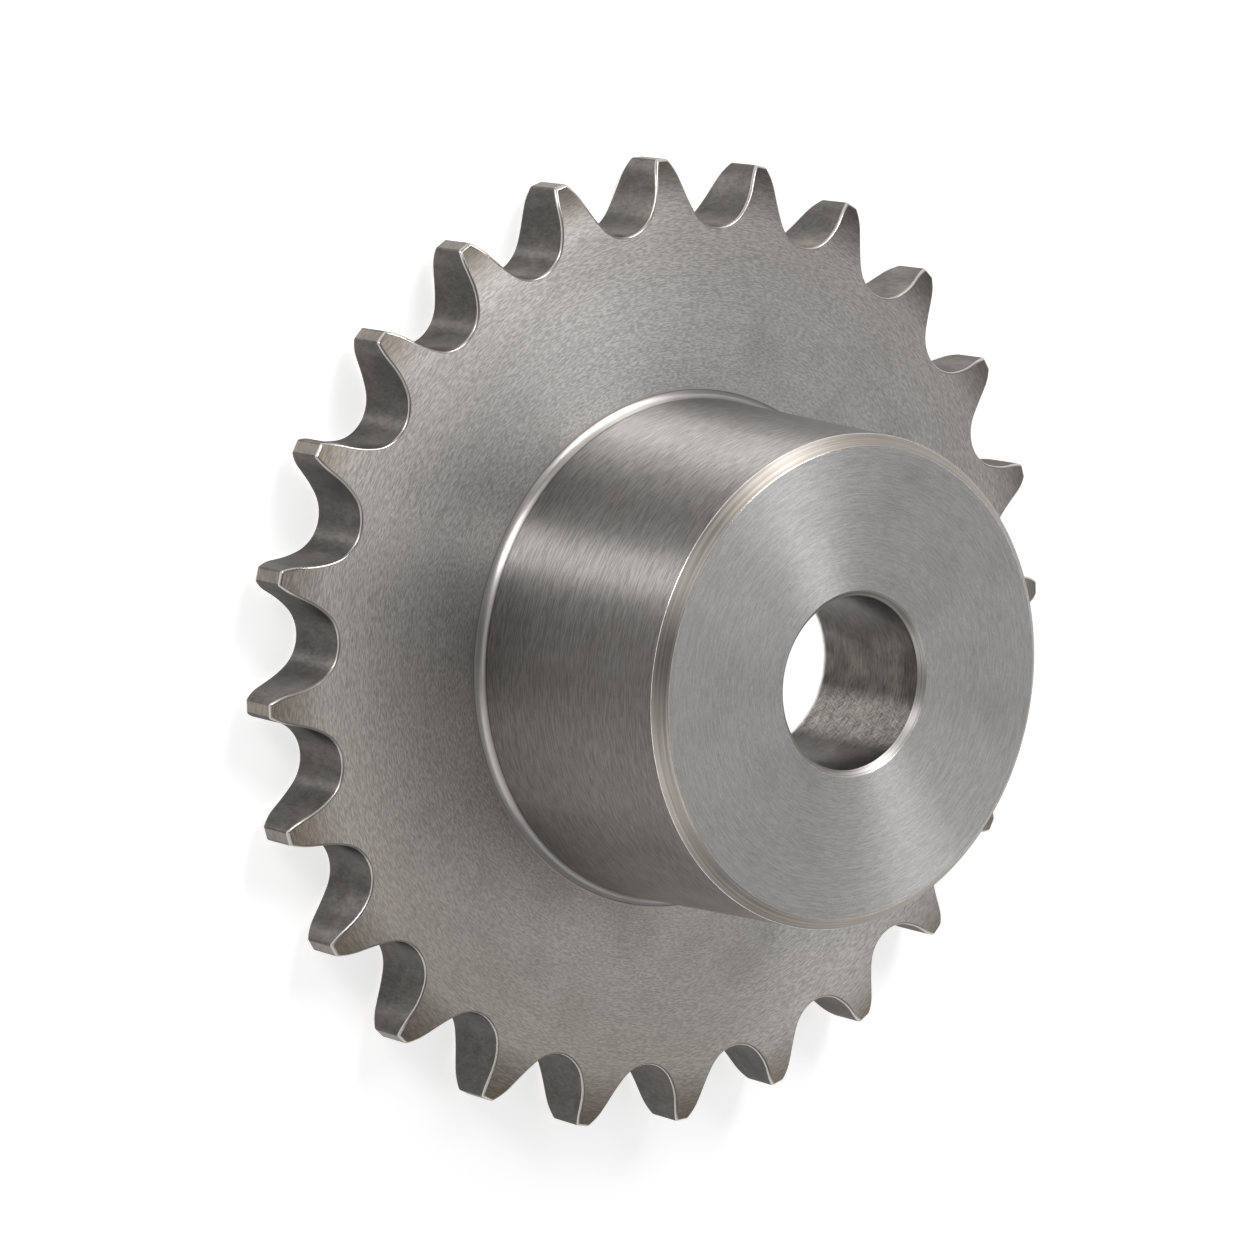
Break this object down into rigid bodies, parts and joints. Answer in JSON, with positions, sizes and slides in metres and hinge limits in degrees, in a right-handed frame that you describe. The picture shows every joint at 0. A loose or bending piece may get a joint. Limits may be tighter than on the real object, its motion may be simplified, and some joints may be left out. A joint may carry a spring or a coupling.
{
  "type": "chain sprocket",
  "caption": "Single-strand roller chain sprocket: toothed plate with a long round hub on one side and a plain through bore.",
  "frame": {"origin": "centre of the bore at the toothed plate's flat back face, on which the sprocket lies", "axes": "+Z along the bore, from the back face towards the hub's end; +X through the middle of one tooth gap"},
  "size_m": [0.154, 0.154, 0.054],
  "materials": {
    "bare_steel": "bare machined steel: fine turning lines on the faces and hub, darker cut surfaces between the teeth"
  },
  "bodies": {
    "root": {"sprocket": "bare_steel"}
  },
  "joints": []
}
